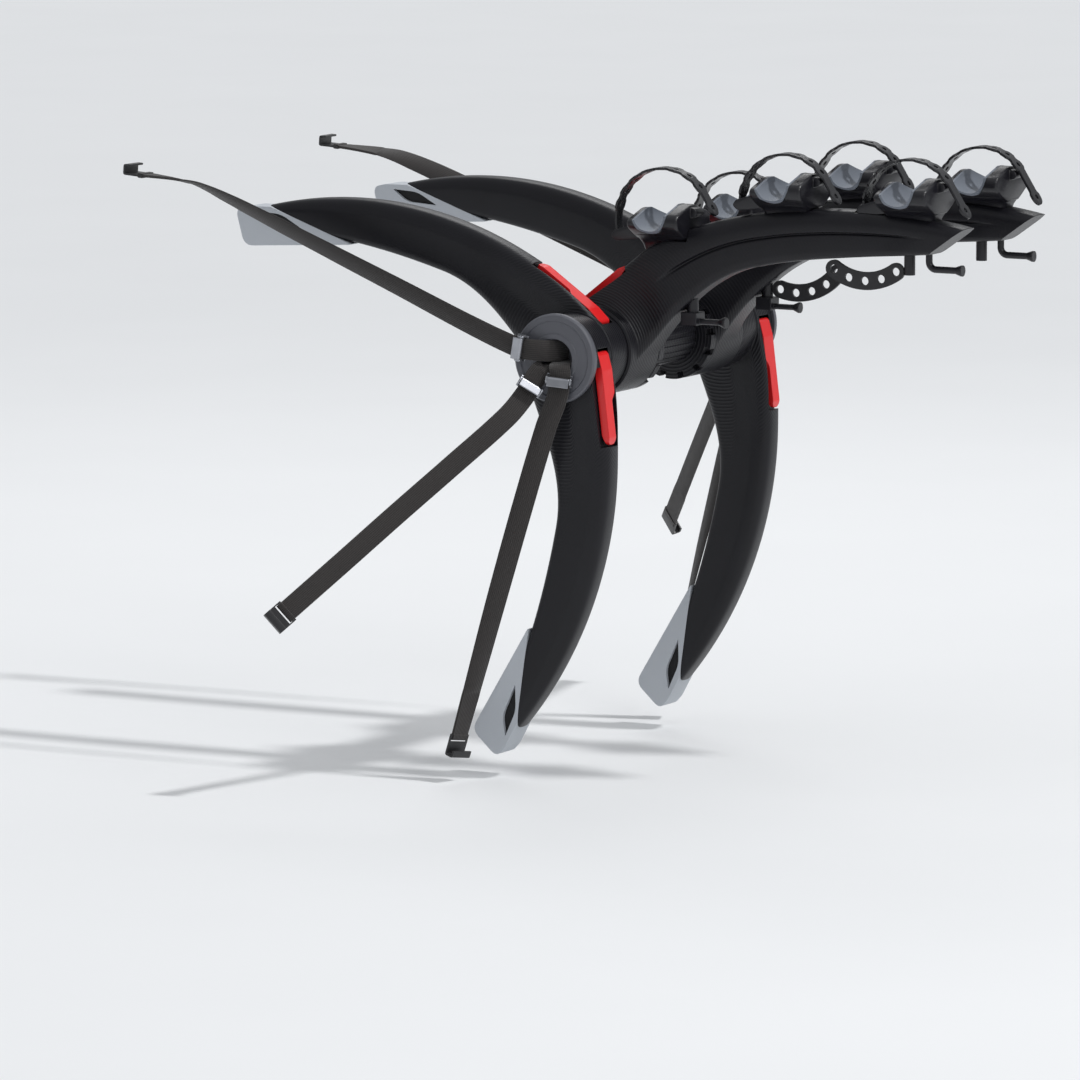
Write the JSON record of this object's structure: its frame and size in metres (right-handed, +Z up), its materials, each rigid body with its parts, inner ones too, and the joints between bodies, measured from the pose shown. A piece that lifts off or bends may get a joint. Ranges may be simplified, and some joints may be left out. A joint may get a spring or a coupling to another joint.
{
  "type": "trunk mounted bike rack",
  "caption": "Strap-on rear carrier for cycles: a ribbed tube with turning arms and bowed legs locked by red cam levers, lined cradles with perforated straps, rubber feet and webbing tie-downs.",
  "frame": {"origin": "the middle of the main tube, on its axis", "axes": "+X along the tube to the vehicle's right, +Y forwards to the vehicle, +Z up"},
  "size_m": [1.0174, 1.0516, 0.7186],
  "materials": {
    "black_plastic": "fine moulded contour lines, satin",
    "grey_cap": "satin",
    "red_lever": "smooth",
    "steel": "turned",
    "shoe_rubber": "matt",
    "foot_rubber": "matt, smooth",
    "pad_rubber": "matt, smooth",
    "strap_rubber": "matt",
    "webbing": "woven",
    "chrome": "plated",
    "hook_coating": "dipped vinyl coating"
  },
  "bodies": {
    "frame": {"main_tube": "black_plastic", "stop_rings": "black_plastic", "end_cap_left": "grey_cap", "end_cap_right": "grey_cap", "top_strap_left": "webbing", "top_strap_right": "webbing", "side_strap_left": "webbing", "side_strap_right": "webbing", "bottom_strap_left": "webbing", "bottom_strap_right": "webbing", "buckle_frames": "chrome", "strap_hooks": "hook_coating"},
    "lower_leg_left": {"lower_leg_left": "black_plastic", "lower_foot_left": "foot_rubber", "lower_lever_pin_left": "steel"},
    "lower_lever_left": {"lower_lever_left": "red_lever"},
    "lower_clamp_shoe_left": {"lower_clamp_shoe_left": "shoe_rubber"},
    "upper_leg_left": {"upper_leg_left": "black_plastic", "upper_foot_left": "foot_rubber", "upper_lever_pin_left": "steel"},
    "upper_lever_left": {"upper_lever_left": "red_lever"},
    "upper_clamp_shoe_left": {"upper_clamp_shoe_left": "shoe_rubber"},
    "arm_left": {"arm_left": "black_plastic", "arm_lever_pin_left": "steel", "cradles_left": "black_plastic", "cradle_pads_left": "pad_rubber", "sway_pegs_left": "black_plastic", "sway_strap_left": "strap_rubber"},
    "arm_lever_left": {"arm_lever_left": "red_lever"},
    "arm_clamp_shoe_left": {"arm_clamp_shoe_left": "shoe_rubber"},
    "hold_strap_left_1": {"hold_strap_left_1": "strap_rubber"},
    "hold_strap_left_2": {"hold_strap_left_2": "strap_rubber"},
    "hold_strap_left_3": {"hold_strap_left_3": "strap_rubber"},
    "top_buckle_cam_left": {"top_buckle_cam_left": "chrome"},
    "side_buckle_cam_left": {"side_buckle_cam_left": "chrome"},
    "bottom_buckle_cam_left": {"bottom_buckle_cam_left": "chrome"},
    "lower_leg_right": {"lower_leg_right": "black_plastic", "lower_foot_right": "foot_rubber", "lower_lever_pin_right": "steel"},
    "lower_lever_right": {"lower_lever_right": "red_lever"},
    "lower_clamp_shoe_right": {"lower_clamp_shoe_right": "shoe_rubber"},
    "upper_leg_right": {"upper_leg_right": "black_plastic", "upper_foot_right": "foot_rubber", "upper_lever_pin_right": "steel"},
    "upper_lever_right": {"upper_lever_right": "red_lever"},
    "upper_clamp_shoe_right": {"upper_clamp_shoe_right": "shoe_rubber"},
    "arm_right": {"arm_right": "black_plastic", "arm_lever_pin_right": "steel", "cradles_right": "black_plastic", "cradle_pads_right": "pad_rubber", "sway_pegs_right": "black_plastic", "sway_strap_right": "strap_rubber"},
    "arm_lever_right": {"arm_lever_right": "red_lever"},
    "arm_clamp_shoe_right": {"arm_clamp_shoe_right": "shoe_rubber"},
    "hold_strap_right_1": {"hold_strap_right_1": "strap_rubber"},
    "hold_strap_right_2": {"hold_strap_right_2": "strap_rubber"},
    "hold_strap_right_3": {"hold_strap_right_3": "strap_rubber"},
    "top_buckle_cam_right": {"top_buckle_cam_right": "chrome"},
    "side_buckle_cam_right": {"side_buckle_cam_right": "chrome"},
    "bottom_buckle_cam_right": {"bottom_buckle_cam_right": "chrome"}
  },
  "joints": [
    {"name": "lower_leg_left_turn", "type": "hinge", "parent": "frame", "child": "lower_leg_left", "pos_m": [-0.209, 0, 0], "axis": [1, 0, 0], "range_deg": [-40, 40]},
    {"name": "lower_lever_left_open", "type": "hinge", "parent": "lower_leg_left", "child": "lower_lever_left", "pos_m": [-0.209, -0.04454, 0.00233], "axis": [1, 0, 0], "range_deg": [-100, 0]},
    {"name": "lower_clamp_shoe_left_lift", "type": "slide", "parent": "lower_leg_left", "child": "lower_clamp_shoe_left", "axis": [0, -0.9925, 0.1219], "range_m": [0, 0.0008]},
    {"name": "upper_leg_left_turn", "type": "hinge", "parent": "frame", "child": "upper_leg_left", "pos_m": [-0.167, 0, 0], "axis": [1, 0, 0], "range_deg": [-100, 30]},
    {"name": "upper_lever_left_open", "type": "hinge", "parent": "upper_leg_left", "child": "upper_lever_left", "pos_m": [-0.167, -0.02297, 0.03823], "axis": [1, 0, 0], "range_deg": [0, 100]},
    {"name": "upper_clamp_shoe_left_lift", "type": "slide", "parent": "upper_leg_left", "child": "upper_clamp_shoe_left", "axis": [0, -0.5736, 0.8192], "range_m": [0, 0.0008]},
    {"name": "arm_left_turn", "type": "hinge", "parent": "frame", "child": "arm_left", "pos_m": [-0.0975, 0, 0], "axis": [1, 0, 0], "range_deg": [-25, 110]},
    {"name": "arm_lever_left_open", "type": "hinge", "parent": "arm_left", "child": "arm_lever_left", "pos_m": [-0.0975, 0.03485, 0.0446], "axis": [1, 0, 0], "range_deg": [-100, 0]},
    {"name": "arm_clamp_shoe_left_lift", "type": "slide", "parent": "arm_left", "child": "arm_clamp_shoe_left", "axis": [0, 0.6157, 0.788], "range_m": [0, 0.0008]},
    {"name": "hold_strap_left_1_open", "type": "hinge", "parent": "arm_left", "child": "hold_strap_left_1", "pos_m": [-0.0975, -0.014, 0.13573], "axis": [1, 0, 0], "range_deg": [-70, 0]},
    {"name": "hold_strap_left_2_open", "type": "hinge", "parent": "arm_left", "child": "hold_strap_left_2", "pos_m": [-0.0975, -0.175, 0.17863], "axis": [1, 0, 0], "range_deg": [-70, 0]},
    {"name": "hold_strap_left_3_open", "type": "hinge", "parent": "arm_left", "child": "hold_strap_left_3", "pos_m": [-0.0975, -0.336, 0.17901], "axis": [1, 0, 0], "range_deg": [-70, 0]},
    {"name": "top_buckle_cam_left_open", "type": "hinge", "parent": "frame", "child": "top_buckle_cam_left", "pos_m": [-0.25457, 0.03759, 0.01217], "axis": [0.0495, 0.1871, -0.9811], "range_deg": [-80, 0]},
    {"name": "side_buckle_cam_left_open", "type": "hinge", "parent": "frame", "child": "side_buckle_cam_left", "pos_m": [-0.26053, 0.01852, -0.02983], "axis": [0.4015, -0.7507, -0.5247], "range_deg": [-80, 0]},
    {"name": "bottom_buckle_cam_left_open", "type": "hinge", "parent": "frame", "child": "bottom_buckle_cam_left", "pos_m": [-0.25104, -0.01263, -0.02371], "axis": [0.2794, -0.954, -0.109], "range_deg": [-80, 0]},
    {"name": "lower_leg_right_turn", "type": "hinge", "parent": "frame", "child": "lower_leg_right", "pos_m": [0.209, 0, 0], "axis": [1, 0, 0], "range_deg": [-40, 40]},
    {"name": "lower_lever_right_open", "type": "hinge", "parent": "lower_leg_right", "child": "lower_lever_right", "pos_m": [0.209, -0.04454, 0.00233], "axis": [1, 0, 0], "range_deg": [-100, 0]},
    {"name": "lower_clamp_shoe_right_lift", "type": "slide", "parent": "lower_leg_right", "child": "lower_clamp_shoe_right", "axis": [0, -0.9925, 0.1219], "range_m": [0, 0.0008]},
    {"name": "upper_leg_right_turn", "type": "hinge", "parent": "frame", "child": "upper_leg_right", "pos_m": [0.167, 0, 0], "axis": [1, 0, 0], "range_deg": [-100, 30]},
    {"name": "upper_lever_right_open", "type": "hinge", "parent": "upper_leg_right", "child": "upper_lever_right", "pos_m": [0.167, -0.02297, 0.03823], "axis": [1, 0, 0], "range_deg": [0, 100]},
    {"name": "upper_clamp_shoe_right_lift", "type": "slide", "parent": "upper_leg_right", "child": "upper_clamp_shoe_right", "axis": [0, -0.5736, 0.8192], "range_m": [0, 0.0008]},
    {"name": "arm_right_turn", "type": "hinge", "parent": "frame", "child": "arm_right", "pos_m": [0.0975, 0, 0], "axis": [1, 0, 0], "range_deg": [-25, 110]},
    {"name": "arm_lever_right_open", "type": "hinge", "parent": "arm_right", "child": "arm_lever_right", "pos_m": [0.0975, 0.03485, 0.0446], "axis": [1, 0, 0], "range_deg": [-100, 0]},
    {"name": "arm_clamp_shoe_right_lift", "type": "slide", "parent": "arm_right", "child": "arm_clamp_shoe_right", "axis": [0, 0.6157, 0.788], "range_m": [0, 0.0008]},
    {"name": "hold_strap_right_1_open", "type": "hinge", "parent": "arm_right", "child": "hold_strap_right_1", "pos_m": [0.0975, -0.014, 0.13573], "axis": [1, 0, 0], "range_deg": [-70, 0]},
    {"name": "hold_strap_right_2_open", "type": "hinge", "parent": "arm_right", "child": "hold_strap_right_2", "pos_m": [0.0975, -0.175, 0.17863], "axis": [1, 0, 0], "range_deg": [-70, 0]},
    {"name": "hold_strap_right_3_open", "type": "hinge", "parent": "arm_right", "child": "hold_strap_right_3", "pos_m": [0.0975, -0.336, 0.17901], "axis": [1, 0, 0], "range_deg": [-70, 0]},
    {"name": "top_buckle_cam_right_open", "type": "hinge", "parent": "frame", "child": "top_buckle_cam_right", "pos_m": [0.25457, 0.03759, 0.01217], "axis": [0.0495, -0.1871, 0.9811], "range_deg": [-80, 0]},
    {"name": "side_buckle_cam_right_open", "type": "hinge", "parent": "frame", "child": "side_buckle_cam_right", "pos_m": [0.26053, 0.01852, -0.02983], "axis": [0.4015, 0.7507, 0.5247], "range_deg": [-80, 0]},
    {"name": "bottom_buckle_cam_right_open", "type": "hinge", "parent": "frame", "child": "bottom_buckle_cam_right", "pos_m": [0.25104, -0.01263, -0.02371], "axis": [0.2794, 0.954, 0.109], "range_deg": [-80, 0]}
  ],
  "couplings": [
    {"joint": "lower_clamp_shoe_left_lift", "follows": "lower_lever_left_open", "m_per_rad": -0.00045791},
    {"joint": "upper_clamp_shoe_left_lift", "follows": "upper_lever_left_open", "m_per_rad": 0.00045791},
    {"joint": "arm_clamp_shoe_left_lift", "follows": "arm_lever_left_open", "m_per_rad": -0.00045791},
    {"joint": "lower_clamp_shoe_right_lift", "follows": "lower_lever_right_open", "m_per_rad": -0.00045791},
    {"joint": "upper_clamp_shoe_right_lift", "follows": "upper_lever_right_open", "m_per_rad": 0.00045791},
    {"joint": "arm_clamp_shoe_right_lift", "follows": "arm_lever_right_open", "m_per_rad": -0.00045791}
  ]
}
